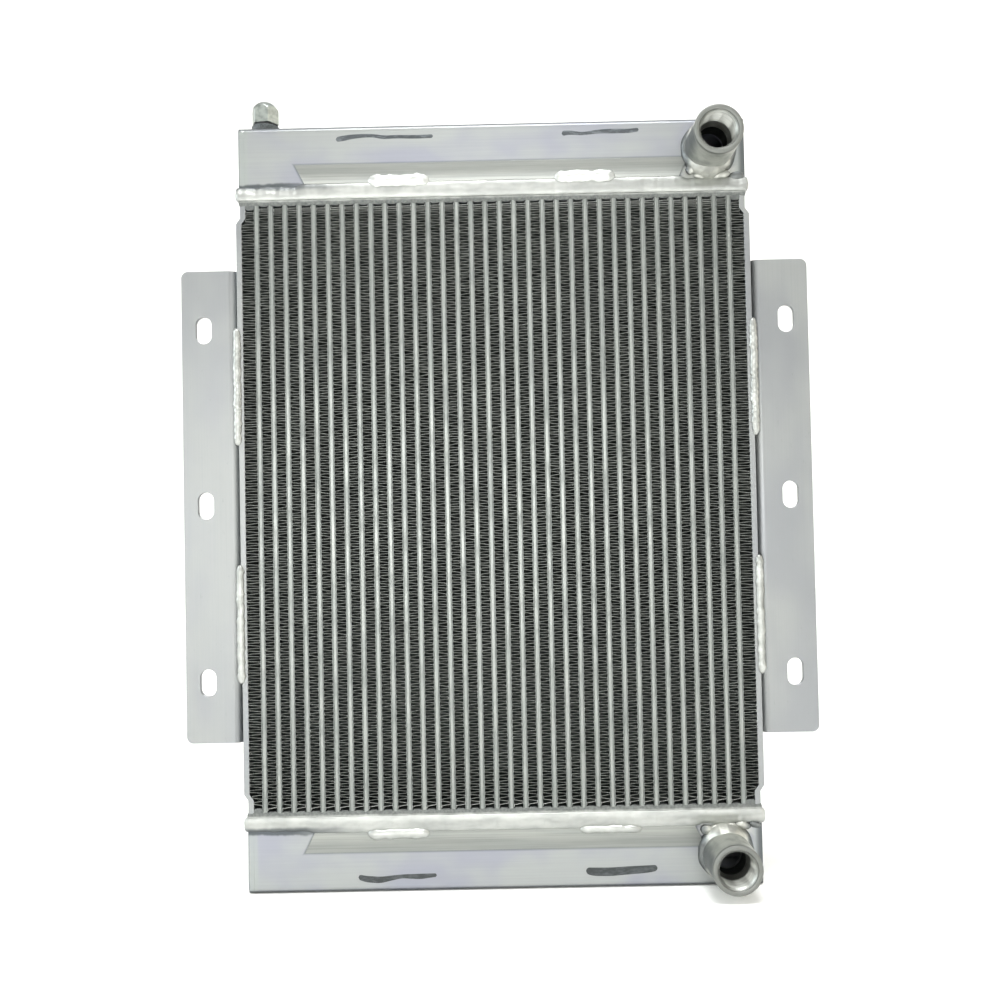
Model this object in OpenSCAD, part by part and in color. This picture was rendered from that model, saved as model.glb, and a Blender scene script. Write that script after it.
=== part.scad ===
// Bar-and-plate hydraulic oil cooler: brazed aluminium core, welded tanks,
// two side flanges, two threaded ports and a bleed plug.
// Oil runs top to bottom between the tanks, air blows through from front to back.
// Millimetres. +Z up, front faces -Y, origin under the middle of the lower tank.

/* [Core] */
// Number of upright oil passages
oil_passages = 34; // [12:1:34]
// Height of the brazed core between the tanks
core_h = 550; // [420:1:600]
// Depth of the core from front to back
core_depth = 70; // [60:0.5:90]
// Clear thickness of one oil passage
oil_gap = 3; // [2:0.1:4]
// Thickness of a separator plate
sheet_t = 0.8; // [0.5:0.05:1.2]
// Width of one air passage
air_gap = 8; // [6.5:0.1:10]
// Width of the two outermost air passages
edge_gap = 11; // [9:0.1:13]
// Depth of the long bars that close an oil passage at front and rear
oil_bar_d = 9; // [7:0.5:12]
// Height of the short bars that close an air passage at top and bottom
air_bar_h = 10; // [8:0.5:14]
// Height of those bars in the two outermost passages
edge_bar_h = 13; // [10:0.5:16]
// Bevel on the inner nose of every closing bar
bar_nose = 1.2; // [0.4:0.1:1.4]

/* [Folded fins] */
// Length of one full fold of an air fin
air_fold = 10; // [9:0.5:24]
// Thickness of the air fin strip
air_fin_t = 0.5; // [0.3:0.05:0.8]
// Length of one full fold of an oil-side turbulator
oil_fold = 13; // [10:0.5:20]
// Thickness of the turbulator strip
oil_fin_t = 0.4; // [0.2:0.05:0.6]

/* [Side plates] */
// Thickness of a side plate
side_t = 5; // [3:0.1:6]
// Inward step at both ends of a side plate
joggle = 3.6; // [2:0.1:4]
// Length of the stepped end
joggle_len = 20; // [18:0.5:26]
// Length of the slope between the step and the straight plate
joggle_slope = 5; // [2:0.5:8]

/* [Tanks] */
// Height of a tank above the core
tank_h = 62; // [58:0.5:80]
// Wall thickness of a tank
tank_wall = 4; // [3:0.1:5]
// Inner bend radius of the tank's long edges
tank_bend_r = 1.5; // [1:0.1:3]
// Thickness of a tank end cap
cap_t = 5; // [4:0.1:7]
// How far the tank walls stand in from the core's faces
tank_inset = 2.5; // [1.5:0.1:3.5]

/* [Stiffening strips] */
// Length of a strip along its thin edge, before it is coped round a port
strip_len = 348; // [200:1:360]
// Height of a strip
strip_h = 18; // [12:0.5:20]
// Thickness of a strip beside the seam
strip_t = 4; // [3:0.1:5]
// Thickness of a strip at its thin edge
strip_lip = 1.2; // [0.8:0.1:2]
// Slant of a strip's cut ends
strip_bevel = 9; // [4:0.5:14]
// Gap between a strip and the welds of seam and port
strip_gap = 0.4; // [0.2:0.1:0.8]

/* [Ports] */
// Outside diameter of a port
port_od = 42; // [40:0.5:44]
// Threaded bore of a port, measured over the crests
port_bore = 30.3; // [26:0.1:32]
// Depth of the threaded bore
port_thread_len = 24; // [20:0.5:28]
// Length of a port in front of the tank
port_len = 45; // [35:0.5:60]
// Distance of a port's axis from the tank's right end
port_from_end = 31.5; // [29:0.5:40]
// Distance of a port's axis from the joint of core and tank
port_rise = 34; // [33:0.5:36.5]
// Passage behind a port's thread and through the tank wall
port_hole = 26; // [22:0.5:28]
// Chamfer on a port's mouth
port_chamfer = 1.2; // [0.5:0.1:1.8]

/* [Bleed plug] */
// Distance of the bleed axis from the tank's left end
bleed_from_end = 17; // [16.5:0.1:30]
// Diameter of the weld boss
boss_d = 26; // [25:0.5:27]
// Height of the weld boss
boss_h = 6; // [5.5:0.5:10]
// Height of the adapter's collar above the boss
collar_h = 6; // [4:0.5:8]
// Diameter of the adapter's collar
collar_d = 25; // [24:0.5:26]
// Diameter of the adapter's screwed spigot
spigot_d = 20; // [19:0.1:21]
// Length of the adapter's screwed spigot
spigot_len = 9; // [8:0.5:10]
// Thickness of the sealing ring
seal_t = 2; // [1.5:0.1:2.5]
// Outside diameter of the sealing ring
seal_d = 22; // [20:0.5:23]
// Width across flats of the plug's hexagon
plug_af = 22; // [21:0.5:23]
// Height of the plug's hexagon
plug_head_h = 19.5; // [16:0.5:21]
// Diameter of the flat on the plug's rounded crown
plug_top_d = 14; // [10:0.5:16]
// How far the tightened hexagon stands turned from square
plug_twist = 8; // [0:1:30]
// Thread diameter of the plug
plug_thread_d = 14; // [12:0.5:15]
// Length of the plug's thread
plug_thread_len = 12; // [10:0.5:14]
// Running clearance around the plug's thread, on the radius
thread_clear = 0.05; // [0.03:0.01:0.08]

/* [Brackets] */
// Height of a bracket
bracket_h = 415; // [380:1:440]
// How far a bracket's middle lies above the core's middle
bracket_rise = 2; // [-5:0.5:5]
// Width of the flange from the side plate to its outer edge
flange_w = 50; // [44:0.5:60]
// Depth of the leg that lies on the side plate
leg_d = 40; // [30:0.5:50]
// Thickness of the bracket plate
bracket_t = 5; // [4:0.1:6]
// Inner bend radius of the bracket
bracket_bend_r = 3; // [2:0.1:4]
// Distance of the flange behind the core's front
bracket_setback = 3; // [2:0.5:15]
// Radius of the flange's outer corners
corner_r = 6; // [3:0.5:10]
// Distance between slots
slot_pitch = 155; // [140:1:160]
// Width of a slot
slot_w = 14; // [11:0.5:15]
// Length of a slot from end to end
slot_len = 24; // [20:0.5:30]
// Distance of the slots from the flange's outer edge
slot_edge = 19.5; // [16:0.5:22]

/* [Welds] */
// Height of the bead round the joint of core and tank
seam_h = 13.6; // [12:0.1:14]
// How far the bead's middle lies on the tank's side of the joint
seam_shift = 1.6; // [0.5:0.1:1.8]
// How far the seam bead stands proud
seam_proud = 3.5; // [2.5:0.1:4.5]
// Length of the thin toe of the seam bead on the core
seam_toe = 5.5; // [3:0.5:8]
// Thickness of that toe
seam_toe_t = 0.8; // [0.5:0.1:1.2]
// Leg of the fillet round a port
port_weld = 3.5; // [2.5:0.1:4]
// Leg of the fillet round the weld boss
boss_weld_leg = 3; // [2:0.1:3.2]
// Radius of the stitch beads beside the strips
stitch_r = 4.2; // [3.5:0.1:4.5]
// Length of a stitch bead beside a strip
stitch_len = 54; // [30:1:60]
// Distance of the upper stitch beads from the middle
upper_stitch_x = 82; // [60:1:100]
// Distance of the lower stitch beads from the middle
lower_stitch_x = 92; // [60:1:100]
// Length of a bead between bracket and side plate
bracket_weld_len = 104; // [60:1:110]
// Distance of those beads from the bracket's middle
bracket_weld_z = 104; // [70:1:115]
// Radius of the bead in the groove of a bracket
groove_bead_r = 4.2; // [3.5:0.1:4.5]

/* [Hidden] */
$fn = 64;
cut = 1;                                  // how far a cutter runs past what it cuts

passage_t = oil_gap + 2 * sheet_t;        // one oil passage with its two plates
pitch = passage_t + air_gap;              // from one oil passage to the next
stack_w = oil_passages * passage_t + (oil_passages - 1) * air_gap;
core_w = stack_w + 2 * (edge_gap + side_t);
core_front = -core_depth / 2;
core_bottom = tank_h;
core_top = tank_h + core_h;
end_w = core_w - 2 * joggle;              // width of the core over its stepped ends
fin_room = core_h - 2 * air_bar_h;        // clear height between the air bars
straight_half = core_h / 2 - joggle_len - joggle_slope;  // half of a side plate's straight stretch

tank_w = core_w - 2 * tank_inset;
tank_d = core_depth - 2 * tank_inset;
tank_front = -tank_d / 2;
tank_outer_r = tank_bend_r + tank_wall;
shell_w = tank_w - 2 * cap_t;
port_x = tank_w / 2 - port_from_end;
bleed_x = bleed_from_end - tank_w / 2;
seam_top = seam_shift + seam_h / 2;       // height of the seam bead's edge over the joint
strip_z = seam_top + strip_gap;           // height of a strip's thick edge over the joint
seat_z = tank_h + boss_h + collar_h;      // height of the adapter's seat over the joint
bracket_z = core_bottom + core_h / 2 + bracket_rise;
bracket_outer_r = bracket_bend_r + bracket_t;

aluminium = [0.74, 0.75, 0.75];
bar_colour = [0.82, 0.83, 0.82];
weld_colour = [0.88, 0.89, 0.88];
fin_colour = [0.2, 0.21, 0.2];

// ---------- places ----------

// X of oil passage i, counted from the left
function oil_x(i) = (i - (oil_passages - 1) / 2) * pitch;
// X of inner air passage i, which lies right of oil passage i
function air_x(i) = oil_x(i) + pitch / 2;
// the inner air passages that belong to one third of the core
function third(k) = [for (i = [0:oil_passages - 2]) if (floor(3 * i / (oil_passages - 1)) == k) i];

module each_oil_passage() for (i = [0:oil_passages - 1]) translate([oil_x(i), 0, 0]) children();
module each_air_passage() for (i = [0:oil_passages - 2]) translate([air_x(i), 0, 0]) children();
module both_sides() for (s = [0, 1]) mirror([s, 0, 0]) children();
// a tank's own frame: z = 0 on the joint with the core, growing away from the core
module at_upper_tank() translate([0, 0, core_top]) children();
module at_lower_tank() translate([0, 0, core_bottom]) mirror([0, 0, 1]) children();
module at_port() translate([port_x, tank_front, port_rise]) rotate([90, 0, 0]) children();
module at_bleed() translate([bleed_x, 0, core_top]) children();
module at_bracket() translate([core_w / 2, core_front + bracket_setback, bracket_z]) children();

// a block centred in X and Y, standing on z = 0
module block(x, y, z) translate([-x / 2, -y / 2, 0]) cube([x, y, z]);

// ---------- core ----------

// Closed outline of a folded strip, centred on z = 0. Its walls run from side to side of a
// gap of width w, each rising by half a fold, with a flat land on every crest. Beyond
// +-straight the crests on the right stand in by step, reached over the length slope.
function folded(walls, half, w, t, step = 0, straight = 0, slope = 1) =
  let (s = t / 2 * sqrt(1 + pow(half / w, 2)),
       z = [for (i = [0:walls]) (i - walls / 2) * half],
       r = [for (i = [0:walls]) w / 2 - step * max(0, min(1, (abs(z[i]) + s - straight) / slope))],
       n = [for (i = [0:walls]) s * (r[i] + w / 2) / half])
  concat(
    [for (i = [0:walls]) each (i % 2 == 1
      ? [[r[i] - n[i], z[i]]]
      : [[-w / 2, z[i] - s], [-w / 2, z[i] + s]])],
    [for (i = [walls:-1:0]) each (i % 2 == 1
      ? [[r[i], z[i] + s], [r[i], z[i] - s]]
      : [[n[i] - w / 2, z[i]]])]);

// number of whole folds, and half the length of one, when they share a room evenly
function folds(room, fold, t) = floor((room - 2 * t) / fold);
function half_fold(room, fold, t) = (room - 2 * t) / folds(room, fold, t) / 2;

module air_fin(room, w, step = 0)
  translate([0, 0, core_bottom + core_h / 2]) rotate([90, 0, 0])
    linear_extrude(height = core_depth - 2 * air_fin_t, center = true)
      polygon(folded(2 * folds(room, air_fold, air_fin_t) - 1, half_fold(room, air_fold, air_fin_t),
                     w, air_fin_t, step, straight_half, joggle_slope));

module air_fins(k) color(fin_colour)
  for (i = third(k)) translate([air_x(i), 0, 0]) air_fin(fin_room, air_gap);

// the outermost strips follow the steps in the side plates
module edge_fins() color(fin_colour)
  both_sides() translate([(stack_w + edge_gap) / 2, 0, 0])
    air_fin(core_h - 2 * edge_bar_h, edge_gap, joggle);

module oil_turbulators() color(aluminium) {
  room = core_depth - 2 * oil_bar_d;
  each_oil_passage() translate([0, 0, core_bottom + core_h / 2])
    linear_extrude(height = fin_room, center = true)
      polygon(folded(2 * folds(room, oil_fold, oil_fin_t) - 1, half_fold(room, oil_fold, oil_fin_t),
                     oil_gap, oil_fin_t));
}

module separator_plates() color(aluminium)
  each_oil_passage() for (s = [-1, 1])
    translate([s * (oil_gap + sheet_t) / 2, 0, core_bottom]) block(sheet_t, core_depth, core_h);

// section of a closing bar: w wide, d deep, with a bevelled nose at the far end
function bar_section(w, d) = let (n = min(bar_nose, w / 3)) [
  [-w / 2, 0], [w / 2, 0], [w / 2, d - n], [w / 2 - n, d], [n - w / 2, d], [-w / 2, d - n]];

module oil_bars() color(bar_colour)
  each_oil_passage() translate([0, core_front, core_bottom])
    linear_extrude(height = core_h) polygon(bar_section(oil_gap, oil_bar_d));

module air_bar(w, h) rotate([90, 0, 0])
  linear_extrude(height = core_depth, center = true) polygon(bar_section(w, h));

module air_bars() color(aluminium) {
  each_air_passage() air_bar(air_gap, air_bar_h);
  both_sides() translate([(stack_w + edge_gap - joggle) / 2, 0, 0])
    air_bar(edge_gap - joggle, edge_bar_h);
}

module side_plate() color(aluminium) {
  low = joggle_len;
  slope_top = joggle_len + joggle_slope;
  line = [[-joggle, 0], [-joggle, low], [0, slope_top],
          [0, core_h - slope_top], [-joggle, core_h - low], [-joggle, core_h]];
  translate([core_w / 2, 0, core_bottom]) rotate([90, 0, 0])
    linear_extrude(height = core_depth, center = true)
      polygon(concat(line, [for (i = [len(line) - 1:-1:0]) line[i] - [side_t, 0]]));
}

// ---------- tanks ----------

// outer or inner form of a tank: both far long edges are rounded
module tank_form(w, d, h, r) difference() {
  block(w, d, h);
  for (s = [0, 1]) mirror([0, s, 0]) translate([0, d / 2 - r, h - r]) difference() {
    translate([-w / 2 - cut, 0, 0]) cube([w + 2 * cut, r + cut, r + cut]);
    rotate([0, 90, 0]) cylinder(r = r, h = w + 4 * cut, center = true);
  }
}

module tank_shell(bleed) color(aluminium) difference() {
  tank_form(shell_w, tank_d, tank_h, tank_outer_r);
  translate([0, 0, -cut])
    tank_form(shell_w + 2 * cut, tank_d - 2 * tank_wall, tank_h - tank_wall + cut, tank_bend_r);
  at_port() translate([0, 0, -tank_wall - cut]) cylinder(d = port_hole, h = tank_wall + 2 * cut);
  if (bleed) translate([bleed_x, 0, tank_h - tank_wall - cut])
    cylinder(d = spigot_d, h = tank_wall + 2 * cut);
}

module tank_cap() color(aluminium)
  translate([(tank_w - cap_t) / 2, 0, 0]) tank_form(cap_t, tank_d, tank_h, tank_outer_r);

// the whole outside of a tank, used to fit welds to it
module tank_body() tank_form(tank_w, tank_d, tank_h, tank_outer_r);

module stiffener() color(bar_colour) {
  steps = 6;
  cove = [for (i = [0:steps]) let (s = i / steps)
    [-strip_lip - (strip_t - strip_lip) * pow(1 - s, 2), s * strip_h]];
  translate([0, tank_front, strip_z]) difference() {
    rotate([90, 0, 90]) linear_extrude(height = strip_len, center = true)
      polygon(concat([[0, 0]], cove, [[0, strip_h]]));
    both_sides() translate([strip_len / 2, 0, strip_h]) rotate([0, atan(strip_bevel / strip_h), 0])
      translate([0, -strip_t - cut, -2 * strip_h]) cube([strip_bevel * 3, strip_t + 2 * cut, 3 * strip_h]);
    translate([port_x, 0, port_rise - strip_z]) rotate([90, 0, 0])
      cylinder(r = port_od / 2 + port_weld + strip_gap, h = 4 * strip_t, center = true);
  }
}

module port() color(aluminium) at_port() difference() {
  union() {
    cylinder(d = port_od, h = port_len - port_chamfer);
    translate([0, 0, port_len - port_chamfer])
      cylinder(d1 = port_od, d2 = port_od - 2 * port_chamfer, h = port_chamfer);
  }
  translate([0, 0, -cut]) cylinder(d = port_hole, h = port_len);
  translate([0, 0, port_len - port_thread_len]) cylinder(d = port_bore, h = port_thread_len + cut);
  translate([0, 0, port_len - port_chamfer])
    cylinder(d1 = port_bore, d2 = port_bore + 4 * port_chamfer, h = 2 * port_chamfer);
}

// ---------- bleed fitting ----------

module bleed_boss() color(aluminium) at_bleed() translate([0, 0, tank_h]) difference() {
  cylinder(d = boss_d, h = boss_h);
  translate([0, 0, -cut]) cylinder(d = spigot_d, h = boss_h + 2 * cut);
}

module bleed_adapter() color([0.25, 0.26, 0.27]) at_bleed() difference() {
  union() {
    translate([0, 0, seat_z - collar_h]) cylinder(d = collar_d, h = collar_h);
    translate([0, 0, seat_z - collar_h - spigot_len]) cylinder(d = spigot_d, h = spigot_len);
  }
  translate([0, 0, seat_z - collar_h - spigot_len - cut])
    cylinder(r = plug_thread_d / 2 + thread_clear, h = spigot_len + collar_h + 2 * cut);
}

module bleed_seal() color([0.15, 0.15, 0.16]) at_bleed() translate([0, 0, seat_z]) difference() {
  cylinder(d = seal_d, h = seal_t);
  translate([0, 0, -cut]) cylinder(r = plug_thread_d / 2 + 2 * thread_clear, h = seal_t + 2 * cut);
}

// hexagon with a ball-turned crown, on a plain shank
module bleed_plug() color([0.66, 0.68, 0.67])
  at_bleed() translate([0, 0, seat_z + seal_t]) rotate([0, 0, -plug_twist]) {
    corner = plug_af / 2 / cos(30);
    crown_r = corner + cut / 2;
    crown_z = plug_head_h - sqrt(pow(crown_r, 2) - pow(plug_top_d / 2, 2));
    intersection() {
      cylinder(r = corner, h = plug_head_h, $fn = 6);
      union() {
        cylinder(r = crown_r, h = crown_z);
        translate([0, 0, crown_z]) sphere(r = crown_r);
      }
    }
    translate([0, 0, -plug_thread_len]) cylinder(d = plug_thread_d, h = plug_thread_len);
  }

// ---------- brackets ----------

// right-hand bracket: the bend's round side faces forward and touches the side plate
module bracket() color(aluminium) at_bracket() difference() {
  union() {
    translate([0, 0, -bracket_h / 2]) cube([flange_w, bracket_t, bracket_h]);
    translate([0, 0, -bracket_h / 2]) cube([bracket_t, leg_d, bracket_h]);
    translate([0, 0, -bracket_h / 2]) cube([bracket_outer_r, bracket_outer_r, bracket_h]);
  }
  // outside and inside of the bend
  translate([bracket_outer_r, bracket_outer_r, 0]) {
    difference() {
      translate([-bracket_outer_r - cut, -bracket_outer_r - cut, -bracket_h / 2 - cut])
        cube([bracket_outer_r + cut, bracket_outer_r + cut, bracket_h + 2 * cut]);
      cylinder(r = bracket_outer_r, h = bracket_h + 4 * cut, center = true);
    }
    cylinder(r = bracket_bend_r, h = bracket_h + 2 * cut, center = true);
  }
  // rounded outer corners
  for (s = [0, 1]) mirror([0, 0, s]) translate([flange_w - corner_r, 0, bracket_h / 2 - corner_r])
    difference() {
      translate([0, -cut, 0]) cube([corner_r + cut, bracket_t + 2 * cut, corner_r + cut]);
      rotate([90, 0, 0]) cylinder(r = corner_r, h = 4 * bracket_t, center = true);
    }
  for (k = [-1:1]) translate([flange_w - slot_edge, bracket_t / 2, k * slot_pitch]) slot();
}

module slot() rotate([90, 0, 0]) {
  for (s = [-1, 1]) translate([0, s * (slot_len - slot_w) / 2, 0])
    cylinder(d = slot_w, h = bracket_t + 2 * cut, center = true);
  cube([slot_w, slot_len - slot_w, bracket_t + 2 * cut], center = true);
}

// beads over the front groove and behind the leg
module bracket_welds() color(weld_colour) at_bracket()
  for (k = [-1, 1]) translate([0, 0, k * bracket_weld_z]) {
    difference() {
      translate([0, -bracket_setback / 2, 0])
        cylinder(r = groove_bead_r, h = bracket_weld_len, center = true);
      translate([-2 * side_t, -bracket_setback, -bracket_weld_len])
        cube([2 * side_t, leg_d, 2 * bracket_weld_len]);
      translate([bracket_outer_r, bracket_outer_r, 0])
        cylinder(r = bracket_outer_r, h = bracket_weld_len + cut, center = true);
    }
    translate([0, leg_d, 0]) intersection() {
      cylinder(r = bracket_t - cut / 2, h = bracket_weld_len, center = true);
      translate([0, 0, -bracket_weld_len]) cube([bracket_t, bracket_t, 2 * bracket_weld_len]);
    }
  }

// ---------- welds ----------

// outline of the band round the joint: half widths a (core) and b (tank)
function seam_side(a, b) = let (low = seam_shift - seam_h / 2) concat(
  [[a, low - seam_toe], [a + seam_toe_t, low - seam_toe / 2]],
  [for (i = [0:8]) let (u = -90 + 22.5 * i)
    [a + seam_toe_t + (b - a - seam_toe_t) * (1 + sin(u)) / 2 + seam_proud * cos(u),
     seam_shift + seam_h / 2 * sin(u)]]);
function seam_outline(a, b) = let (side = seam_side(a, b))
  concat(side, [for (i = [len(side) - 1:-1:0]) [-side[i][0], side[i][1]]]);

module seam_weld() color(weld_colour) difference() {
  intersection() {
    rotate([90, 0, 90]) linear_extrude(height = 2 * core_w, center = true)
      polygon(seam_outline(core_depth / 2, tank_d / 2));
    rotate([90, 0, 0]) linear_extrude(height = 2 * core_w, center = true)
      polygon(seam_outline(end_w / 2, tank_w / 2));
  }
  translate([0, 0, -joggle_len]) block(end_w, core_depth, joggle_len);
  block(tank_w, tank_d, seam_top + cut);
}

module stitch_welds(x) color(weld_colour) difference() {
  both_sides() translate([x, tank_front - stitch_r * 0.6, seam_top + 0.9 * stitch_r])
    rotate([0, 90, 0]) cylinder(r = stitch_r, h = stitch_len, center = true);
  block(tank_w, tank_d, tank_h);
  block(core_w, core_depth, cut);
  seam_weld();
  stiffener();
}

// a ring of weld with a slightly hollow face, on a round of diameter d
module fillet_ring(d, leg, back) rotate_extrude() polygon([
  [d / 2, -back], [d / 2 + leg, -back], [d / 2 + leg, 0],
  [d / 2 + leg * 0.4, leg * 0.4], [d / 2, leg]]);

module port_weld_ring() color(weld_colour) difference() {
  at_port() fillet_ring(port_od, port_weld, tank_outer_r);
  tank_body();
}

module bleed_boss_weld() color(weld_colour)
  at_bleed() translate([0, 0, tank_h]) fillet_ring(boss_d, boss_weld_leg, 0);

// ---------- nodes ----------

separator_plates();
oil_bars();  // front_oil_bars
mirror([0, 1, 0]) oil_bars();  // rear_oil_bars
translate([0, 0, core_top]) mirror([0, 0, 1]) air_bars();  // upper_air_bars
translate([0, 0, core_bottom]) air_bars();  // lower_air_bars
air_fins(0);  // air_fins_left
air_fins(1);  // air_fins_middle
air_fins(2);  // air_fins_right
edge_fins();
oil_turbulators();
mirror([1, 0, 0]) side_plate();  // left_side_plate
side_plate();  // right_side_plate
at_upper_tank() tank_shell(true);  // upper_tank
at_upper_tank() mirror([1, 0, 0]) tank_cap();  // upper_tank_left_cap
at_upper_tank() tank_cap();  // upper_tank_right_cap
at_lower_tank() tank_shell(false);  // lower_tank
at_lower_tank() mirror([1, 0, 0]) tank_cap();  // lower_tank_left_cap
at_lower_tank() tank_cap();  // lower_tank_right_cap
at_upper_tank() stiffener();  // upper_stiffener
at_lower_tank() stiffener();  // lower_stiffener
at_upper_tank() port();  // upper_port
at_lower_tank() port();  // lower_port
bleed_boss();
bleed_adapter();
bleed_seal();
bleed_plug();
mirror([1, 0, 0]) bracket();  // left_bracket
bracket();  // right_bracket
at_upper_tank() seam_weld();  // upper_seam_weld
at_lower_tank() seam_weld();  // lower_seam_weld
at_upper_tank() stitch_welds(upper_stitch_x);  // upper_stitch_welds
at_lower_tank() stitch_welds(lower_stitch_x);  // lower_stitch_welds
at_upper_tank() port_weld_ring();  // upper_port_weld
at_lower_tank() port_weld_ring();  // lower_port_weld
bleed_boss_weld();
mirror([1, 0, 0]) bracket_welds();  // left_bracket_welds
bracket_welds();  // right_bracket_welds
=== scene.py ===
# %% [markdown]
# # A hydraulic oil cooler
# This file dresses a welded aluminium oil cooler, of the kind that stands in front of a fan on a
# machine. Hot oil comes in at one threaded port, runs through flat upright passages and leaves at
# the other, while air blows through the folded fins between the passages. The solid model gives
# every size, so nothing is measured twice: the frame loads it, and each piece made here takes its
# place from the box of the part that it stands for.

# %% Load the frame
from math import cos, hypot, pi, radians, sin

import bpy
import numpy as np
from mathutils import Matrix, Vector


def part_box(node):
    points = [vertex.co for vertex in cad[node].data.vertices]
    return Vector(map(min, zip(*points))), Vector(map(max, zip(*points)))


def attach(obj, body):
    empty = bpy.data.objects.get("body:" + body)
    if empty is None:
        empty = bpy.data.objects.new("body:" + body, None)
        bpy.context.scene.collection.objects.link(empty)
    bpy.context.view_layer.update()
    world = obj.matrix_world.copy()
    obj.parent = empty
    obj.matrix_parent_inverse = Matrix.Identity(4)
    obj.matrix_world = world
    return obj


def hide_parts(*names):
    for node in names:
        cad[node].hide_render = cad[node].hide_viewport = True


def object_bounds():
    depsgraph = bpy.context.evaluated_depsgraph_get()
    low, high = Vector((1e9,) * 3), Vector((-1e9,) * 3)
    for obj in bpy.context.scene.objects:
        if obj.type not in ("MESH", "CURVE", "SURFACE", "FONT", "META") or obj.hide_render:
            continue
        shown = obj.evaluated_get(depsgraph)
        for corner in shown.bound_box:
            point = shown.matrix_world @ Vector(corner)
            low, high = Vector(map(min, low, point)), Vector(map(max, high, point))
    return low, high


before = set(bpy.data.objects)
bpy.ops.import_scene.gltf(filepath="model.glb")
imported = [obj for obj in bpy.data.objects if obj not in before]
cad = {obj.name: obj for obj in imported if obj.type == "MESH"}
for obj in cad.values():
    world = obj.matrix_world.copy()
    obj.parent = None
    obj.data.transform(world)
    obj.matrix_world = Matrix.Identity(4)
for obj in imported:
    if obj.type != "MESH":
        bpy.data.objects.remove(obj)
cad_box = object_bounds()
MM = 0.001
print("the solid model spans", [round(float(v), 4) for corner in cad_box for v in corner])

# %% [markdown]
# ## The camera
# A camera is a matrix: where it stands, and which way its right side, its top and its back point.
# Building those three directions from a pitch, a yaw and a roll is clearer than guessing at Euler
# angles, and it can't flip over. This one stands close, a little under the middle of the cooler,
# and looks up by about a degree.

# %% Place the camera
CAMERA_AT = Vector((0.00528, -0.9015, 0.31865))
PITCH, YAW, ROLL = 0.02353, 0.00408, -0.02057
SENSOR = 36.0
LENS = 0.99077 * SENSOR


def new_object(name, data):
    """An object in the scene with this data."""
    made = bpy.data.objects.new(name, data)
    bpy.context.scene.collection.objects.link(made)
    return made


camera = new_object("camera", bpy.data.cameras.new("camera"))
camera.data.sensor_width = SENSOR
camera.data.lens = LENS
ahead = Vector((-sin(YAW) * cos(PITCH), cos(YAW) * cos(PITCH), sin(PITCH)))
level = Vector((cos(YAW), sin(YAW), 0))
upright = level.cross(ahead)
right_side = cos(ROLL) * level + sin(ROLL) * upright
top_side = cos(ROLL) * upright - sin(ROLL) * level
camera.matrix_world = Matrix.Translation(CAMERA_AT) @ Matrix(
    (right_side, top_side, -ahead)).transposed().to_4x4()
bpy.context.scene.camera = camera
print("lens", round(LENS, 2), "mm, standing", round(-CAMERA_AT.y, 3), "m in front")

# %% [markdown]
# ## Node materials
# Every finish starts from the real one. A colour is easiest to read as a hex value, but shaders
# add up light, so it has to be turned from sRGB to linear first. One small function adds any node
# with its settings, and links whatever is given as another node's output.

# %% Colours and nodes
def linear(hex_colour):
    """An sRGB hex colour as linear red, green, blue and alpha."""
    channels = [int(hex_colour[i:i + 2], 16) / 255 for i in (1, 3, 5)]
    return [c / 12.92 if c <= 0.04045 else ((c + 0.055) / 1.055) ** 2.4 for c in channels] + [1.0]


def add(material, kind, inputs=None, output=0, **settings):
    """Adds a node of this kind and gives its output. Settings are the node's own, and inputs go
    to its sockets: a value is set, and another node's output is linked."""
    made = material.node_tree.nodes.new("ShaderNode" + kind)
    for name, value in settings.items():
        setattr(made, name, value)
    for name, value in (inputs or {}).items():
        if isinstance(value, bpy.types.NodeSocket):
            material.node_tree.links.new(value, made.inputs[name])
        else:
            made.inputs[name].default_value = value
    return made.outputs[output]


print("mid grey in light:", round(linear("#808080")[0], 3))

# %% [markdown]
# A finish here is built in layers, as on the real thing: a base colour, then a film, lines or
# wear that cover part of it. A layer needs a pattern and the share of it that covers. The pattern
# is noise whose grains have a size in millimetres, and grains that are long one way make lines.
# A plain finish needs only one pattern, for both its colour and its gloss.

# %% Finishes, patterns and layers
def new_finish(name, **sockets):
    """A material with one Principled shader. Underscores in a socket's name stand for spaces."""
    material = bpy.data.materials.new(name)
    material.use_nodes = True
    shader = material.node_tree.nodes["Principled BSDF"]
    for socket, value in sockets.items():
        shader.inputs[socket.replace("_", " ")].default_value = value
    print("finish:", name)
    return material


def grain(material, x_mm, y_mm, z_mm, detail=2.0, roughness=0.5):
    """Noise with grains about this big, fixed to the part."""
    spot = add(material, "TexCoord", output="Object")
    spaced = add(material, "Mapping", {"Vector": spot,
                                       "Scale": (1000 / x_mm, 1000 / y_mm, 1000 / z_mm)})
    return add(material, "TexNoise", {"Vector": spaced, "Scale": 1.0, "Detail": detail,
                                      "Roughness": roughness})


def layer(material, under, over, pattern, low, high, most=1.0):
    """One colour laid over another, where the pattern goes from low to high. A colour is a hex
    value, or what an earlier layer gave."""
    under, over = (linear(c) if isinstance(c, str) else c for c in (under, over))
    share = add(material, "MapRange", {"Value": pattern, "From Min": low, "From Max": high,
                                       "To Max": most}, interpolation_type="SMOOTHSTEP")
    return add(material, "Mix", {0: share, 6: under, 7: over}, output=2, data_type="RGBA")


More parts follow.
